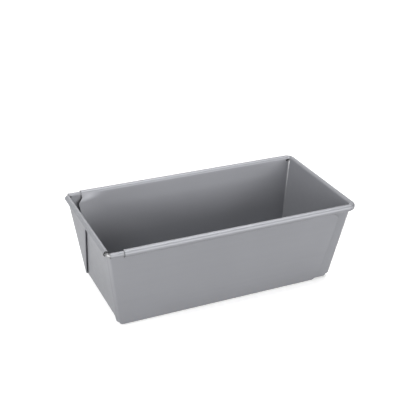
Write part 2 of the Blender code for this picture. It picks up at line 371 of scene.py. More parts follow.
class Bench:
    """Models one mesh in edit mode with Blender's own tools. Chains and rings carry a row number."""

    def __init__(self, name: str) -> None:
        """Start an empty mesh object at the origin.

        Args:
            name: Name of the piece.
        """
        bpy.ops.object.select_all(action="DESELECT")
        bpy.ops.mesh.primitive_plane_add(size=MM)
        self.piece = bpy.context.object
        self.piece.name = name
        self.piece.data.name = name
        bpy.ops.object.mode_set(mode="EDIT")
        bpy.ops.mesh.delete(type="VERT")
        self.edited().verts.layers.int.new("row")
        bmesh.update_edit_mesh(self.piece.data)

    def edited(self) -> bmesh.types.BMesh:
        """The mesh in edit mode."""
        return bmesh.from_edit_mesh(self.piece.data)

    def mark_selected(self, row: int) -> None:
        """Give the selected points a row number.

        Args:
            row: The row number.
        """
        mesh = self.edited()
        layer = mesh.verts.layers.int["row"]
        for vertex in mesh.verts:
            if vertex.select:
                vertex[layer] = row
        bmesh.update_edit_mesh(self.piece.data)

    def mark_bend(self, row: int, centre: Vector, radius: float, highlight: float, close: float) -> None:
        """Record how strong the painted highlight is on the points of a chain in an upright bend.

        Args:
            row: Row number of the chain.
            centre: Centre of the bend.
            radius: Radius of the chain round it.
            highlight: Strength of the painted highlight in the middle of the bend, from where it fades to
                nothing at the bend's ends.
            close: Distance within which a point counts as being on the bend.
        """
        mesh = self.edited()
        rows = mesh.verts.layers.int["row"]
        highlights = mesh.verts.layers.float.get("bend_highlight") or mesh.verts.layers.float.new("bend_highlight")
        for vertex in mesh.verts:
            arm = vertex.co - centre
            if vertex[rows] == row and arm.y > 0 and arm.x < 0 and abs(arm.length - radius) < close:
                middle_share = -2 * arm.x * arm.y / arm.length_squared
                # painted highlight: the lighter, smoother coating here stands in for light caught by the bend
                vertex[highlights] = highlight * middle_share**2
        bmesh.update_edit_mesh(self.piece.data)

    def chain(self, row: int, start: Vector, stretches: list[Stretch]) -> None:
        """Draw a chain of points: a start point, extruded and spun along.

        Args:
            row: Row number of the chain.
            start: First point.
            stretches: What the chain does after it.
        """
        bpy.ops.mesh.select_all(action="DESELECT")
        bpy.ops.mesh.primitive_plane_add(size=MM, location=start)
        bpy.ops.mesh.merge(type="CENTER")
        self.mark_selected(row)
        place = start.copy()
        for stretch in stretches:
            place = self.stretch(place, stretch)

    def stretch(self, place: Vector, stretch: Stretch) -> Vector:
        """Add one stretch to the selected end of a chain.

        Args:
            place: Where the chain ends so far.
            stretch: The stretch.

        Returns:
            Where the chain ends now.
        """
        if isinstance(stretch, Straight):
            bpy.ops.mesh.extrude_region_move(TRANSFORM_OT_translate={"value": stretch.to - place})
            return stretch.to
        self.spin(stretch)
        arm = place - stretch.centre
        arm.rotate(Quaternion(stretch.axis, stretch.angle))
        return stretch.centre + arm

    def spin(self, turn: Turn) -> None:
        """Spin what is selected. The spin tool itself counts its angle clockwise.

        Args:
            turn: Centre, axis, angle and steps.
        """
        bpy.ops.mesh.spin(
            steps=turn.steps,
            angle=-turn.angle,
            center=turn.centre,
            axis=turn.axis,
            use_auto_merge=False,
        )

    def pick(self, wanted: Callable[[int, Vector], bool]) -> None:
        """Select the points that a test accepts, and the edges between them.

        Args:
            wanted: Test of a point's row number and place.
        """
        bpy.ops.mesh.select_mode(type="VERT")
        bpy.ops.mesh.select_all(action="DESELECT")
        mesh = self.edited()
        layer = mesh.verts.layers.int["row"]
        for vertex in mesh.verts:
            vertex.select = wanted(vertex[layer], vertex.co)
        mesh.select_flush_mode()
        bmesh.update_edit_mesh(self.piece.data)

    def bridge(self, wanted: Callable[[int, Vector], bool]) -> None:
        """Join the two chains that a test accepts with faces."""
        self.pick(wanted)
        bpy.ops.mesh.bridge_edge_loops()

    def weld(self, distance: float) -> None:
        """Merge doubled points and make the faces point one way.

        Args:
            distance: Points nearer to each other than this become one.
        """
        bpy.ops.mesh.select_mode(type="VERT")
        bpy.ops.mesh.select_all(action="SELECT")
        bpy.ops.mesh.remove_doubles(threshold=distance)
        bpy.ops.mesh.dissolve_degenerate(threshold=distance)
        bpy.ops.mesh.normals_make_consistent(inside=False)

    def turn_round(self) -> None:
        """Turn the whole piece half round about the pan's upright axis."""
        bpy.ops.mesh.select_all(action="SELECT")
        bpy.ops.transform.rotate(value=math.pi, orient_axis="Z", center_override=(0.0, 0.0, 0.0))

    def finish_modelling(self) -> bpy.types.Object:
        """Leave edit mode and drop the row numbers.

        Returns:
            The piece.
        """
        bpy.ops.object.mode_set(mode="OBJECT")
        self.piece.data.attributes.remove(self.piece.data.attributes["row"])
        return self.piece

    def apply(self, kind: str, **settings: object) -> None:
        """Add a modifier and apply it.

        Args:
            kind: The modifier's type.
            settings: Its settings by name.
        """
        modifier = self.piece.modifiers.new(kind.lower(), kind)
        for name, value in settings.items():
            setattr(modifier, name, value)
        bpy.context.view_layer.objects.active = self.piece
        bpy.ops.object.modifier_apply(modifier=modifier.name)


@dataclass(frozen=True)
class CornerPlan:
    """Plan of an upright corner at one height, from the side wall round to the centre plane.

    After its bend the sheet runs on along the end by flap, folds back by fold, returns by back and folds
    forward again, so that it always ends on the end wall. Offset is the distance outwards from the walls.
    """

    z: float
    wall_x: float
    wall_y: float
    radius: float
    edge_fold: float
    root_fold: float
    offset: float = 0.0
    fold: float = 0.0
    flap: float = 0.0
    back: float = 0.0

    def bend_centre(self) -> Vector:
        """Centre of the upright bend, which the folds push out from the end wall.

        Returns:
            The centre.
        """
        both_folds = self.edge_fold + self.root_fold
        reach = both_folds * (1 - math.cos(self.fold)) + self.back * math.sin(self.fold)
        return Vector((self.wall_x - reach + self.radius, self.wall_y - self.radius, self.z))

    def stretches(self, corner_steps: int, fold_steps: int) -> list[Stretch]:
        """The corner as stretches of a chain.

        Args:
            corner_steps: Number of steps round the upright bend.
            fold_steps: Number of steps round each fold.

        Returns:
            Stretches from the start of the bend to the centre plane.
        """
        up = Vector((0.0, 0.0, 1.0))
        across = Vector((0.0, 1.0, 0.0))
        bend = self.bend_centre()
        first = Vector((bend.x - self.radius + self.edge_fold, bend.y - self.flap, self.z))
        away = Vector((math.cos(self.fold), math.sin(self.fold), 0.0))
        along = Vector((math.sin(self.fold), -math.cos(self.fold), 0.0))
        second = first - away * (self.edge_fold + self.root_fold) + along * self.back
        inner = self.root_fold - self.offset
        return [
            Straight(bend + across * (self.radius + self.offset)),
            Turn(bend, up, QUARTER, corner_steps),
            Straight(Vector((first.x - self.edge_fold - self.offset, first.y, self.z))),
            Turn(first, up, self.fold, fold_steps),
            Straight(second + away * inner),
            Turn(second, up, -self.fold, fold_steps),
            Straight(Vector((second.x + inner, 0.0, self.z))),
        ]


@dataclass(frozen=True)
class Curl:
    """Rolled section of a rim.

    Centre is a point on its axis, lean is that of the wall below it, and end is the angle where it stops.
    """

    centre: Vector
    outward: Vector
    radius: float
    lean: float
    end: float

    def start(self) -> Vector:
        """Point where the curl leaves the wall."""
        rise = Vector((0.0, 0.0, math.sin(self.lean)))
        return self.centre + (rise - self.outward * math.cos(self.lean)) * self.radius

    def turn(self, steps: int) -> Turn:
        """The curl as a turn, up and over."""
        axis = self.outward.cross(Vector((0.0, 0.0, 1.0)))
        return Turn(self.centre, axis, self.end - (math.pi - self.lean), steps)


@dataclass(frozen=True)
class Level:
    """One level of the sheet: its point on the open edge, the plan of its corner, and the edge's spring."""

    edge: Vector
    plan: CornerPlan
    spring: float = 0.0


@dataclass
class FoldedHalf:
    """One half of the pan: a folded sheet with one closed end and rolled rims.

    The corners of the closed end are envelope folds, so each ends in a double ear that lies on the outside of
    the end wall under the end rim. A painted highlight along the upright bends, a lighter and smoother
    coating, fades towards the base.
    """

    name: str
    node: str
    body: str
    sizes: HalfSizes
    rounded: bool
    bend_highlight: float
    base_steps: int = 8
    foot_steps: int = 12
    corner_steps: int = 10
    fold_steps: int = 8
    curl_steps: int = 36
    rim_corner_steps: int = 16
    spring_shares: tuple[float, ...] = (0.0, 0.08, 0.17, 0.28, 0.41, 0.57, 0.76, 1.0)
    side_rim_row: int = 100
    end_rim_row: int = 101
    corner_row: int = 102
    highlight_fade: float = 1.5
    close: float = 0.002 * MM
    smooth_below: float = math.radians(32.0)
    rows: int = field(default=0, init=False)

    def build(self, coating: bpy.types.Material, cut_edge: bpy.types.Material) -> bpy.types.Object:
        """Model the half and dress it.

        Args:
            coating: Finish of the sheet's faces.
            cut_edge: Finish of its cut edges.

        Returns:
            The finished piece, which rides on its body and stands for its CAD node.
        """
        bench = Bench(self.name)
        self.draw_walls(bench)
        self.fill_base(bench)
        self.roll_side_rim(bench)
        self.roll_end_rim(bench)
        if self.rounded:
            self.round_rim_corner(bench)
        bench.weld(self.close)
        bpy.ops.object.mode_set(mode="OBJECT")
        bench.apply("MIRROR", use_axis=(False, True, False), merge_threshold=self.close)
        bpy.ops.object.mode_set(mode="EDIT")
        bench.weld(self.close)
        if self.sizes.kind is HalfKind.INNER:
            bench.turn_round()
        piece = bench.finish_modelling()
        piece.data.materials.append(coating)
        piece.data.materials.append(cut_edge)
        self.give_thickness(bench)
        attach(piece, self.body)
        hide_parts(self.node)
        return piece

    def give_thickness(self, bench: Bench) -> None:
        """Thicken the sheet evenly about its middle and smooth it. Its cut edges get their own finish.

        Args:
            bench: Where the half is modelled.
        """
        bench.apply(
            "SOLIDIFY",
            thickness=self.sizes.pan.sheet,
            offset=0.0,
            use_even_offset=True,
            use_quality_normals=True,
            material_offset_rim=1,
        )
        bpy.ops.object.select_all(action="DESELECT")
        bench.piece.select_set(True)
        bpy.ops.object.shade_smooth_by_angle(angle=self.smooth_below)
        bench.apply("WEIGHTED_NORMAL", mode="FACE_AREA", keep_sharp=True)

    def base_level(self, turn: float) -> Level:
        """A level of the bend round the base.

        Args:
            turn: Angle by which the sheet has turned up there.

        Returns:
            The level.
        """
        pan = self.sizes.pan
        foot = self.sizes.bend_top
        z = self.sizes.base_z + pan.base_radius * (1 - math.cos(turn))
        offset = pan.base_radius * (math.sin(turn) - math.cos(pan.lean))
        wall_x = self.sizes.end_x(foot)
        wall_y = self.sizes.side_y(foot)
        plan = CornerPlan(
            z, wall_x, wall_y, pan.foot_radius, pan.edge_fold, self.sizes.root_fold(foot), offset
        )
        return Level(Vector((self.sizes.wall_edge_x(z), wall_y + offset, z)), plan)

    def wall_plan(self, z: float, radius: float, fold: float, flap: float, back: float) -> CornerPlan:
        """Plan of the corner at a height of the walls.

        Args:
            z: Height.
            radius: Radius of the upright bend.
            fold: Angle of the folds.
            flap: How far the sheet runs along the end before it folds.
            back: How far it runs back.

        Returns:
            The plan.
        """
        sizes = self.sizes
        wall_x = sizes.end_x(z)
        wall_y = sizes.side_y(z)
        root = sizes.root_fold(z)
        return CornerPlan(z, wall_x, wall_y, radius, sizes.pan.edge_fold, root, 0.0, fold, flap, back)

    def foot_level(self, share: float) -> Level:
        """A level between the base bend and the ears' foot, where the folds open up.

        Args:
            share: How far up it is between them.

        Returns:
            The level.
        """
        sizes = self.sizes
        edge_z = sizes.bend_top + (sizes.chamfer_top - sizes.bend_top) * share
        z = sizes.bend_top + sizes.pan.ear_foot_height * share
        radius = sizes.pan.foot_radius + (sizes.pan.corner_radius - sizes.pan.foot_radius) * share
        fold = math.pi * share
        back = sizes.fold_tuck(z) * (1 - math.cos(fold)) / 2
        edge = Vector((sizes.wall_edge_x(edge_z), sizes.side_y(edge_z), edge_z))
        return Level(edge, self.wall_plan(z, radius, fold, 0.0, back))

    def ear_level(self, edge_x: float, edge_z: float, z: float, spring: float) -> Level:
        """A level above the ears' foot.

        Args:
            edge_x: Place of the open edge along the pan.
            edge_z: Height of the level there.
            z: Height of the level at the corner.
            spring: How far the open edge has sprung inwards.

        Returns:
            The level.
        """
        sizes = self.sizes
        flap = sizes.side_y(z) - sizes.pan.corner_radius - sizes.ear_edge_y(z)
        back = flap + sizes.fold_tuck(z)
        edge = Vector((edge_x, sizes.side_y(edge_z), edge_z))
        plan = self.wall_plan(z, sizes.pan.corner_radius, math.pi, flap, back)
        return Level(edge, plan, spring)

    def levels(self) -> list[Level]:
        """All levels of the sheet.

        Returns:
            The levels from the base up.
        """
        sizes = self.sizes
        whole_turn = QUARTER - sizes.pan.lean
        made = [self.base_level(whole_turn * step / self.base_steps) for step in range(self.base_steps + 1)]
        made += [self.foot_level(step / self.foot_steps) for step in range(1, self.foot_steps + 1)]
        low, high = sizes.shoulder_low, sizes.shoulder_high
        middle = (sizes.ear_foot + low) / 2
        made.append(self.ear_level(sizes.wall_edge_x(middle), middle, middle, sizes.springs[0]))
        made.append(self.ear_level(sizes.wall_edge_x(low), low, low, sizes.springs[1]))
        made.append(self.ear_level(sizes.rim_end, high, sizes.ear_top, sizes.springs[2]))
        return made

    def sprung_edge(self, level: Level) -> list[Vector]:
        """The sprung stretch of a wall at one level.

        Args:
            level: The level.

        Returns:
            Points from the open edge to where the stretch ends.
        """
        points = []
        for share in self.spring_shares:
            inwards = level.spring * (1 - share) ** 2
            x = self.sizes.spring_x(level.edge.x, share)
            points.append(Vector((x, level.edge.y - inwards, level.edge.z)))
        return points

    def draw_walls(self, bench: Bench) -> None:
        """Draw a chain for each level and bridge each to the one below.

        Args:
            bench: Where the half is modelled.
        """
        for row, level in enumerate(self.levels()):
            plan = level.plan
            bend = plan.bend_centre()
            lead = Vector((bend.x + self.sizes.corner_lead(), bend.y + plan.radius + plan.offset, plan.z))
            points = self.sprung_edge(level) + [lead]
            stretches = plan.stretches(self.corner_steps, self.fold_steps)
            bench.chain(row, points[0], [Straight(point) for point in points[1:]] + stretches)
            # painted highlight along the upright bend, fainter towards the base
            highlight = self.bend_highlight * (plan.z / self.sizes.pan.height) ** self.highlight_fade
            bench.mark_bend(row, bend, plan.radius + plan.offset, highlight, self.close)
            if row:
                bench.bridge(lambda number, place: number in (row - 1, row))
            self.rows = row

    def fill_base(self, bench: Bench) -> None:
        """Close the lowest chain along the open edge and fill it.

        Args:
            bench: Where the half is modelled.
        """
        edge = self.levels()[0].edge
        bench.pick(lambda number, place: number == 0 and (place - edge).length < self.close)
        bpy.ops.mesh.extrude_region_move(TRANSFORM_OT_translate={"value": (0.0, -edge.y, 0.0)})
        bench.pick(lambda number, place: number == 0)
        bpy.ops.mesh.edge_face_add()

    def side_curl(self, x: float) -> Curl:
        """Curl of the side rim.

        Args:
            x: Place along the pan.

        Returns:
            The curl there.
        """
        pan = self.sizes.pan
        centre = Vector((x, pan.side_axis_y, pan.side_axis_z))
        return Curl(centre, Vector((0.0, 1.0, 0.0)), self.sizes.side_curl, pan.lean, self.sizes.curl_end)

    def end_curl(self, y: float) -> Curl:
        """Curl of the end rim.

        Args:
            y: Distance from the centre plane.

        Returns:
            The curl there.
        """
        pan = self.sizes.pan
        centre = Vector((-pan.end_axis_x, y, self.sizes.end_axis_z))
        end = pan.end_curl_short - QUARTER
        return Curl(centre, Vector((-1.0, 0.0, 0.0)), pan.end_curl, pan.lean, end)

    def side_rim_xs(self) -> list[float]:
        """Places of the side rim's lines of points.

        Returns:
            Places along the pan, from the open end.
        """
        sizes = self.sizes
        xs = [sizes.spring_x(sizes.rim_end, share) for share in self.spring_shares]
        if self.rounded:
            return xs + [sizes.rim_turn_radius() - sizes.pan.end_axis_x]
        bend = sizes.bend_start_x(sizes.side_top)
        return xs + [bend + sizes.corner_lead(), bend, bend - sizes.pan.rim_overrun]

    def roll_side_rim(self, bench: Bench) -> None:
        """Raise the side wall to its rim and roll the rim.

        Args:
            bench: Where the half is modelled.
        """
        xs = self.side_rim_xs()
        starts = [self.side_curl(x).start() for x in xs]
        bench.chain(self.side_rim_row, starts[0], [Straight(start) for start in starts[1:]])
        bend_x = self.levels()[-1].plan.bend_centre().x
        last_x = bend_x + self.close if self.rounded else bend_x - self.close
        bench.bridge(lambda number, place: number in (self.side_rim_row, self.rows) and place.x > last_x)
        bench.pick(lambda number, place: number == self.side_rim_row)
        bench.spin(self.side_curl(0.0).turn(self.curl_steps))

    def roll_end_rim(self, bench: Bench) -> None:
        """Raise the end wall to its rim and roll the rim.

        Args:
            bench: Where the half is modelled.
        """
        y = self.sizes.end_rim_y()
        curl = self.end_curl(y)
        bench.chain(self.end_rim_row, curl.start(), [Straight(self.end_curl(0.0).start())])
        plan = self.levels()[-1].plan
        top_y = plan.bend_centre().y - plan.flap + plan.back + self.close
        bench.bridge(
            lambda number, place: number == self.end_rim_row
            or number == self.rows
            and abs(place.x - plan.wall_x) < self.close
            and place.y < top_y
        )
        bench.pick(lambda number, place: number == self.end_rim_row)
        bench.spin(curl.turn(self.curl_steps))

    def corner_curl(self, share: float) -> Curl:
        """Curl part of the way round a rounded rim corner.

        Args:
            share: How far round, from the side rim to the end rim.

        Returns:
            The curl, of a size between the two rims'.
        """
        sizes, pan = self.sizes, self.sizes.pan
        radius = sizes.rim_turn_radius()
        turn = QUARTER * share
        outward = Vector((-math.sin(turn), math.cos(turn), 0.0))
        pivot = Vector((radius - pan.end_axis_x, sizes.end_rim_y(), 0.0))
        rise = Vector((0.0, 0.0, pan.side_axis_z + (sizes.end_axis_z - pan.side_axis_z) * share))
        curl = sizes.side_curl + (pan.end_curl - sizes.side_curl) * share
        end = sizes.curl_end + (pan.end_curl_short - QUARTER - sizes.curl_end) * share
        return Curl(pivot + outward * radius + rise, outward, curl, pan.lean, end)

    def round_rim_corner(self, bench: Bench) -> None:
        """Join side rim and end rim by a rounded corner.

        Args:
            bench: Where the half is modelled.
        """
        turn_x = self.sizes.rim_turn_radius() - self.sizes.pan.end_axis_x
        end_y = self.sizes.end_rim_y()
        last = self.corner_row + self.rim_corner_steps - 2
        for step in range(1, self.rim_corner_steps):
            row = self.corner_row + step - 1
            curl = self.corner_curl(step / self.rim_corner_steps)
            bench.chain(row, curl.start(), [curl.turn(self.curl_steps)])
            if step > 1:
                bench.bridge(lambda number, place: number in (row - 1, row))
        bench.bridge(
            lambda number, place: number == self.corner_row
            or number == self.side_rim_row
            and abs(place.x - turn_x) < self.close
        )
        bench.bridge(
            lambda number, place: number == last
            or number == self.end_rim_row
            and abs(place.y - end_y) < self.close
        )


@dataclass
class RimWire:
    """The steel wire in a half's rolled rims, bent round the two corners."""

    name: str
    node: str
    body: str
    sizes: HalfSizes
    wire_end: float
    turn_radius: float
    end_shift: Vector
    ring_points: int = 28
    bend_steps: int = 16
    bend_share: float = 1.4
    cut_round: float = 0.25 * MM
    cut_steps: int = 3
    close: float = 0.002 * MM
    smooth_below: float = math.radians(40.0)

    def build(self, steel: bpy.types.Material) -> bpy.types.Object:
        """Model the wire and dress it.

        Args:
            steel: Finish of the wire.

        Returns:
            The finished piece, which rides on its body and stands for its CAD node.
        """
        pan = self.sizes.pan
        bench = Bench(self.name)
        bpy.ops.mesh.primitive_circle_add(
            vertices=self.ring_points,
            radius=pan.wire_diameter / 2,
            location=(self.wire_end, pan.side_axis_y, self.sizes.wire_z),
            rotation=(0.0, QUARTER, 0.0),
        )
        pivot = Vector((self.turn_radius - pan.end_axis_x, pan.side_axis_y - self.turn_radius, 0.0))
        bpy.ops.mesh.extrude_region_move(
            TRANSFORM_OT_translate={"value": (pivot.x - self.wire_end, 0.0, 0.0)}
        )
        bench.spin(Turn(pivot, Vector((0.0, 0.0, 1.0)), QUARTER, self.bend_steps))
        bpy.ops.mesh.extrude_region_move(TRANSFORM_OT_translate={"value": (0.0, -pivot.y, 0.0)})
        bench.pick(lambda number, place: place.y < pivot.y + self.close)
        bpy.ops.transform.translate(
            value=self.end_shift,
            use_proportional_edit=True,
            proportional_edit_falloff="SMOOTH",
            proportional_size=self.turn_radius * self.bend_share,
        )
        bench.pick(lambda number, place: place.x > self.wire_end - self.close)
        bpy.ops.mesh.edge_face_add()
        bpy.ops.mesh.bevel(offset=self.cut_round, segments=self.cut_steps)
        bpy.ops.object.mode_set(mode="OBJECT")
        bench.apply("MIRROR", use_axis=(False, True, False), merge_threshold=self.close)
        bpy.ops.object.mode_set(mode="EDIT")
        bench.weld(self.close)
        if self.sizes.kind is HalfKind.INNER:
            bench.turn_round()
        piece = bench.finish_modelling()
        piece.data.materials.append(steel)
        bpy.ops.object.select_all(action="DESELECT")
        piece.select_set(True)
        bpy.ops.object.shade_smooth_by_angle(angle=self.smooth_below)
        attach(piece, self.body)
        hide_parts(self.node)
        return piece


class FinishTree:
    """The node tree of one finish, with the few kinds of node that the finishes use.

    Nearly all of a cloudy pattern lies between pattern_low and pattern_high.
    """

    pattern_low: float = 0.3
    pattern_high: float = 0.7

    def __init__(self, name: str) -> None:
        """Start a material with a plain shader.

        Args:
            name: Name of the finish.
        """
        self.material = bpy.data.materials.new(name)
        self.material.use_nodes = True
        self.tree = self.material.node_tree
        self.shader = self.tree.nodes["Principled BSDF"]
        self.place = self.tree.nodes.new("ShaderNodeTexCoord").outputs["Object"]

    def set(self, **values: object) -> None:
        """Set the shader's own sockets, named with underscores for spaces."""
        for name, value in values.items():
            self.shader.inputs[name.replace("_", " ")].default_value = value

    def join(self, source: Socket, target: Socket) -> None:
        """Link two sockets."""
        self.tree.links.new(source, target)

    def stretched(self, scale: Scales) -> Socket:
        """Places on the object, stretched.

        Args:
            scale: Scale along each axis.

        Returns:
            The stretched places.
        """
        mapping = self.tree.nodes.new("ShaderNodeMapping")
        mapping.inputs["Scale"].default_value = scale
        self.join(self.place, mapping.inputs["Vector"])
        return mapping.outputs["Vector"]

    def noise(self, scale: float, detail: float, place: Socket | None = None) -> Socket:
        """A cloudy pattern.

        Args:
            scale: Patches in a metre.
            detail: How many finer patterns are laid over it.
            place: Places that it follows, if not the object's own.

        Returns:
            The pattern.
        """
        noise = self.tree.nodes.new("ShaderNodeTexNoise")
        noise.inputs["Scale"].default_value = scale
        noise.inputs["Detail"].default_value = detail
        self.join(place or self.place, noise.inputs["Vector"])
        return noise.outputs["Fac"]

    def between(self, pattern: Socket, low: float, high: float) -> Socket:
        """A pattern's middle range spread from low to high.

        Args:
            pattern: The pattern.
            low: Lowest number.
            high: Highest number.

        Returns:
            The numbers.
        """
        spread = self.tree.nodes.new("ShaderNodeMapRange")
        spread.inputs["From Min"].default_value = self.pattern_low
        spread.inputs["From Max"].default_value = self.pattern_high
        spread.inputs["To Min"].default_value = low
        spread.inputs["To Max"].default_value = high
        self.join(pattern, spread.inputs["Value"])
        return spread.outputs["Result"]

    def colours(self, pattern: Socket, low: Colour, high: Colour) -> Socket:
        """A colour that follows a pattern.

        Args:
            pattern: The pattern.
            low: Colour where it is low.
            high: Colour where it is high.

        Returns:
            The colour.
        """
        mix = self.tree.nodes.new("ShaderNodeMix")
        mix.data_type = Blend.COLOURS.value
        mix.inputs["A"].default_value = (*low, 1.0)
        mix.inputs["B"].default_value = (*high, 1.0)
        self.join(self.between(pattern, 0.0, 1.0), mix.inputs["Factor"])
        return mix.outputs["Result"]

    def measure(self, name: str) -> Socket:
        """What the mesh records about each of its points.

        Args:
            name: Name of the record.

        Returns:
            The recorded numbers.
        """
        record = self.tree.nodes.new("ShaderNodeAttribute")
        record.attribute_name = name
        return record.outputs["Fac"]

    def blend(self, kind: Blend, share: Socket, start: Socket, end: float | tuple[float, ...]) -> Socket:
        """Change from a pattern to an even value by a share.

        Args:
            kind: Whether colours or numbers are blended.
            share: How far towards the value.
            start: The pattern.
            end: The even value.

        Returns:
            The blended pattern.
        """
        mix = self.tree.nodes.new("ShaderNodeMix")
        mix.data_type = kind.value
        inputs = [socket for socket in mix.inputs if socket.enabled]
        outputs = [socket for socket in mix.outputs if socket.enabled]
        self.join(share, inputs[0])
        self.join(start, inputs[1])
        inputs[2].default_value = end
        return outputs[0]

    def relief(self, pattern: Socket, height: float, below: Socket | None = None) -> Socket:
        """A relief that follows a pattern.

        Args:
            pattern: The pattern.
            height: Height in metres.
            below: A coarser relief that it lies on.

        Returns:
            The relief's normals.
        """
        bump = self.tree.nodes.new("ShaderNodeBump")
        bump.inputs["Distance"].default_value = height
        bump.inputs["Strength"].default_value = 1.0
        self.join(pattern, bump.inputs["Height"])
        if below is not None:
            self.join(below, bump.inputs["Normal"])
        return bump.outputs["Normal"]


@dataclass(frozen=True)
class CoatedSheet:
    """Satin silver-grey coating on rolled sheet: a little cloudy, faintly streaked along, never quite flat.

    Along the upright bends it is painted lighter, a painted highlight, and it is made smoother there.
    """

    name: str = "coated_sheet"
    dark_grey: Colour = (0.262, 0.266, 0.284)
    light_grey: Colour = (0.277, 0.281, 0.300)
    metallic: float = 0.5
    roughness_low: float = 0.45
    roughness_high: float = 0.52
    highlight_grey: Colour = (0.60, 0.60, 0.61)
    bend_roughness: float = 0.34
    cloud_scale: float = 14.0
    cloud_detail: float = 4.0
    streak_scales: Scales = (5.0, 220.0, 220.0)
    streak_detail: float = 3.0
    grain_scale: float = 1400.0
    grain_detail: float = 2.0
    wave_scale: float = 22.0
    wave_detail: float = 1.0
    wave_height: float = 0.10 * MM
    grain_height: float = 0.0035 * MM

    def material(self) -> bpy.types.Material:
        """Make the finish.

        Returns:
            The material.
        """
        finish = FinishTree(self.name)
        finish.set(Metallic=self.metallic)
        clouds = finish.noise(self.cloud_scale, self.cloud_detail)
        streaks = finish.noise(1.0, self.streak_detail, finish.stretched(self.streak_scales))
        grain = finish.noise(self.grain_scale, self.grain_detail)
        highlight = finish.measure("bend_highlight")
        grey = finish.colours(clouds, self.dark_grey, self.light_grey)
        # painted highlight: lighter grey along the upright bends, where the roughness is also lowered
        grey = finish.blend(Blend.COLOURS, highlight, grey, (*self.highlight_grey, 1.0))
        finish.join(grey, finish.shader.inputs["Base Color"])
        rough = finish.between(streaks, self.roughness_low, self.roughness_high)
        rough = finish.blend(Blend.NUMBERS, highlight, rough, self.bend_roughness)
        finish.join(rough, finish.shader.inputs["Roughness"])
        waves = finish.relief(finish.noise(self.wave_scale, self.wave_detail), self.wave_height)
        finish.join(finish.relief(grain, self.grain_height, waves), finish.shader.inputs["Normal"])
        return finish.material


@dataclass(frozen=True)
class DrawnSteel:
    """Bare steel as it was drawn or cut: grey, with short fine streaks."""

    name: str
    dark: Colour
    light: Colour
    roughness_low: float
    roughness_high: float
    metallic: float = 1.0
    streak_scale: float = 900.0
    streak_stretch: Scales = (1.0, 1.0, 3.0)
    streak_detail: float = 3.0
    streak_height: float = 0.004 * MM

    def material(self) -> bpy.types.Material:
        """Make the finish.

        Returns:
            The material.
        """
        finish = FinishTree(self.name)
        finish.set(Metallic=self.metallic)
        streaks = finish.noise(self.streak_scale, self.streak_detail, finish.stretched(self.streak_stretch))
        finish.join(finish.colours(streaks, self.dark, self.light), finish.shader.inputs["Base Color"])
        rough = finish.between(streaks, self.roughness_low, self.roughness_high)
        finish.join(rough, finish.shader.inputs["Roughness"])
        finish.join(finish.relief(streaks, self.streak_height), finish.shader.inputs["Normal"])
        return finish.material


@dataclass(frozen=True)
class SoftLamp:
    """A wide soft lamp, aimed at the pan."""

    name: str
    place: tuple[float, float, float]
    width: float
    height: float
    power: float

    def add(self) -> None:
        """Put the lamp up."""
        data = bpy.data.lights.new(self.name, "AREA")
        data.shape = "RECTANGLE"
        data.size = self.width
        data.size_y = self.height
        data.energy = self.power
        lamp = bpy.data.objects.new(self.name, data)
        lamp.location = self.place
        lamp.rotation_euler = (-Vector(self.place)).to_track_quat("-Z", "Y").to_euler()
        bpy.context.scene.collection.objects.link(lamp)


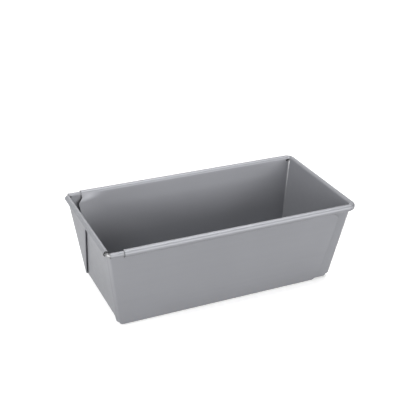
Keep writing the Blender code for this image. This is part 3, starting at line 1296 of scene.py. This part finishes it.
@dataclass
class Studio:
    """White floor and surroundings, soft lamps and the camera at the photograph's angle."""

    camera_place: tuple[float, float, float] = (-0.262875, -0.556905, 0.377293)
    camera_turn: tuple[float, float, float] = (63.5044, -0.9143, -24.1292)
    focal_share: float = 861.15 / 400.0
    sensor_width: float = 36.0
    floor_half: float = 6.0
    floor_drop: float = 0.05 * MM
    floor_grey: float = 0.25
    floor_white: float = 0.7
    floor_shine: float = 0.50
    floor_glow: float = 0.42
    glow_near: float = 0.3
    glow_far: float = 0.9
    surrounding_shine: float = 0.1
    lamps: tuple[SoftLamp, ...] = (
        SoftLamp("front_lamp", place=(0.6, -1.4, 0.5), width=1.4, height=0.5, power=17.0),
        SoftLamp("left_front_lamp", place=(-1.2, -0.9, 0.25), width=1.4, height=0.45, power=16.0),
        SoftLamp("high_left_lamp", place=(-1.1, -0.2, 1.2), width=0.8, height=0.8, power=18.5),
        SoftLamp("top_lamp", place=(0.5, 0.1, 1.5), width=1.0, height=0.8, power=18.0),
        SoftLamp("back_lamp", place=(0.5, 1.3, 0.75), width=0.8, height=0.8, power=4.4),
        SoftLamp("back_left_lamp", place=(-0.6, 1.3, 0.7), width=0.8, height=0.8, power=2.0),
        SoftLamp("low_back_lamp", place=(0.0, 1.4, 0.12), width=1.0, height=0.2, power=6.0),
    )

    def build(self) -> None:
        """Put up floor, surroundings, lamps and camera."""
        self.lay_floor()
        self.light_surroundings()
        for lamp in self.lamps:
            lamp.add()
        self.set_camera()
        bpy.context.scene.view_settings.view_transform = "Standard"

    def combined(self, tree: bpy.types.NodeTree, way: Maths, first: Socket, second: Socket | float) -> Socket:
        """Two numbers put together.

        Args:
            tree: Node tree to work in.
            way: How they are put together.
            first: First number, of another node.
            second: Second number, of another node or written out.

        Returns:
            The result.
        """
        maths = tree.nodes.new("ShaderNodeMath")
        maths.operation = way.value
        tree.links.new(first, maths.inputs[0])
        if isinstance(second, float):
            maths.inputs[1].default_value = second
        else:
            tree.links.new(second, maths.inputs[1])
        return maths.outputs["Value"]

    def views(self, tree: bpy.types.NodeTree) -> tuple[Socket, Socket]:
        """Two numbers for who looks at a surface, each 1 if so and else 0.

        Args:
            tree: Node tree to work in.

        Returns:
            One for the camera, and one for a shiny or clear surface.
        """
        path = tree.nodes.new("ShaderNodeLightPath").outputs
        mirrored = self.combined(tree, Maths.LARGER, path["Is Glossy Ray"], path["Is Transmission Ray"])
        return path["Is Camera Ray"], mirrored

    def lay_floor(self) -> None:
        """A plain white floor that keeps the pan's shadow. It lights the pan as a grey one would."""
        bpy.ops.object.select_all(action="DESELECT")
        bpy.ops.mesh.primitive_plane_add(size=2 * self.floor_half, location=(0.0, 0.0, -self.floor_drop))
        floor = bpy.context.object
        floor.name = "floor"
        material = bpy.data.materials.new("white_floor")
        material.use_nodes = True
        tree = material.node_tree
        shader = tree.nodes["Principled BSDF"]
        shader.inputs["Roughness"].default_value = 1.0
        shader.inputs["Specular IOR Level"].default_value = 0.0
        shader.inputs["Emission Color"].default_value = (1.0, 1.0, 1.0, 1.0)
        seen, mirrored = self.views(tree)
        paler = self.combined(tree, Maths.PRODUCT, seen, self.floor_white - self.floor_grey)
        shine = self.combined(tree, Maths.PRODUCT, mirrored, self.floor_shine - self.floor_grey)
        above_grey = self.combined(tree, Maths.SUM, paler, shine)
        tone = self.combined(tree, Maths.SUM, above_grey, self.floor_grey)
        tree.links.new(tone, shader.inputs["Base Color"])
        either = self.combined(tree, Maths.LARGER, seen, mirrored)
        glow = self.combined(tree, Maths.PRODUCT, either, self.glow_by_distance(tree))
        tree.links.new(glow, shader.inputs["Emission Strength"])
        floor.data.materials.append(material)

    def glow_by_distance(self, tree: bpy.types.NodeTree) -> Socket:
        """The floor's glow: low near the pan, for its shadow, and full where the lamps' light has faded.

        Args:
            tree: Node tree to work in.

        Returns:
            The strength of the glow.
        """
        place = tree.nodes.new("ShaderNodeTexCoord").outputs["Object"]
        distance = tree.nodes.new("ShaderNodeVectorMath")
        distance.operation = "LENGTH"
        tree.links.new(place, distance.inputs[0])
        glow = tree.nodes.new("ShaderNodeMapRange")
        glow.inputs["From Min"].default_value = self.glow_near
        glow.inputs["From Max"].default_value = self.glow_far
        glow.inputs["To Min"].default_value = self.floor_glow
        glow.inputs["To Max"].default_value = 1.0
        tree.links.new(distance.outputs["Value"], glow.inputs["Value"])
        return glow.outputs["Result"]

    def light_surroundings(self) -> None:
        """Surroundings that look white to the camera and dim in the pan's shine, and give no other light."""
        world = bpy.data.worlds.new("surroundings")
        world.use_nodes = True
        tree = world.node_tree
        background = tree.nodes["Background"]
        background.inputs["Color"].default_value = (1.0, 1.0, 1.0, 1.0)
        seen, mirrored = self.views(tree)
        shine = self.combined(tree, Maths.PRODUCT, mirrored, self.surrounding_shine)
        strength = self.combined(tree, Maths.LARGER, seen, shine)
        tree.links.new(strength, background.inputs["Strength"])
        bpy.context.scene.world = world

    def set_camera(self) -> None:
        """The camera at the photograph's place, angle and lens."""
        data = bpy.data.cameras.new("camera")
        data.sensor_width = self.sensor_width
        data.lens = self.focal_share * self.sensor_width
        camera = bpy.data.objects.new("camera", data)
        camera.location = self.camera_place
        camera.rotation_euler = [math.radians(angle) for angle in self.camera_turn]
        bpy.context.scene.collection.objects.link(camera)
        bpy.context.scene.camera = camera


@dataclass
class LoafPan:
    """The pan: two folded halves and their rim wires, with their finishes.

    The inner half's upright bends get a painted highlight, and the outer half's only a faint one.
    """

    pan: PanSizes = field(default_factory=PanSizes)
    outer_wire_shift: tuple[float, float, float] = (0.3 * MM, 0.0, 0.2 * MM)
    outer_bend_highlight: float = 0.15
    inner_bend_highlight: float = 1.0
    coating: CoatedSheet = CoatedSheet()
    cut_edge: DrawnSteel = DrawnSteel(
        name="cut_edge",
        dark=(0.12, 0.12, 0.122),
        light=(0.18, 0.18, 0.183),
        roughness_low=0.45,
        roughness_high=0.55,
    )
    drawn_wire: DrawnSteel = DrawnSteel(
        name="drawn_wire",
        dark=(0.28, 0.28, 0.285),
        light=(0.38, 0.38, 0.385),
        roughness_low=0.45,
        roughness_high=0.55,
    )

    def outer_sizes(self) -> HalfSizes:
        """Sizes of the outer half, the lower one, whose open edge has sprung outwards.

        Returns:
            The sizes.
        """
        pan = self.pan
        return HalfSizes(
            pan=pan,
            kind=HalfKind.OUTER,
            base_z=pan.sheet / 2,
            side_curl=pan.outer_curl,
            end_axis_z=pan.side_axis_z + pan.wire_drop,
            wire_z=pan.side_axis_z,
            wall_short=15.2 * MM,
            rim_cutback=4.5 * MM,
            shoulder_depth=9.9 * MM,
            shoulder_rise=3.3 * MM,
            curl_past=math.radians(30.0),
            springs=(-1.2 * MM, -1.9 * MM, -0.9 * MM),
        )

    def inner_sizes(self) -> HalfSizes:
        """Sizes of the inner half, which lies in the outer one and whose rims wrap over the outer one's.

        Returns:
            The sizes.
        """
        pan = self.pan
        return HalfSizes(
            pan=pan,
            kind=HalfKind.INNER,
            base_z=pan.sheet + pan.clearance + pan.sheet / 2,
            side_curl=pan.inner_curl,
            end_axis_z=pan.end_top_z,
            wire_z=pan.end_top_z - pan.wire_drop,
            wall_short=10.5 * MM,
            rim_cutback=3.8 * MM,
            shoulder_depth=8.1 * MM,
            shoulder_rise=3.5 * MM,
            curl_past=math.radians(12.0),
            springs=(4.2 * MM, 3.6 * MM, 1.4 * MM),
        )

    def build(self) -> list[bpy.types.Object]:
        """Model and dress all four pieces.

        Returns:
            The finished pieces.
        """
        coating = self.coating.material()
        cut_edge = self.cut_edge.material()
        steel = self.drawn_wire.material()
        outer = self.outer_sizes()
        inner = self.inner_sizes()
        outer_sheet = FoldedHalf(
            name="outer_sheet",
            node="outer_pan",
            body="outer_half",
            sizes=outer,
            rounded=False,
            bend_highlight=self.outer_bend_highlight,
        )
        inner_sheet = FoldedHalf(
            name="inner_sheet",
            node="inner_pan",
            body="inner_half",
            sizes=inner,
            rounded=True,
            bend_highlight=self.inner_bend_highlight,
        )
        outer_wire = RimWire(
            name="outer_wire",
            node="outer_rim_wire",
            body="outer_half",
            sizes=outer,
            wire_end=outer.rim_end - self.pan.clearance,
            turn_radius=self.pan.end_axis_x + outer.bend_start_x(outer.side_top),
            end_shift=Vector(self.outer_wire_shift),
        )
        inner_wire = RimWire(
            name="inner_wire",
            node="inner_rim_wire",
            body="inner_half",
            sizes=inner,
            wire_end=-outer.rim_end - self.pan.clearance,
            turn_radius=inner.rim_turn_radius(),
            end_shift=Vector(),
        )
        sheets = [half.build(coating, cut_edge) for half in (outer_sheet, inner_sheet)]
        wires = [wire.build(steel) for wire in (outer_wire, inner_wire)]
        return sheets + wires


def main() -> None:
    """Build the pan and the studio, and report each piece of the pan."""
    logging.basicConfig(level=logging.INFO, format="%(name)s: %(message)s")
    for piece in LoafPan().build():
        log.info("%s: %d faces", piece.name, len(piece.data.polygons))
    Studio().build()


if __name__ == "__main__":
    main()
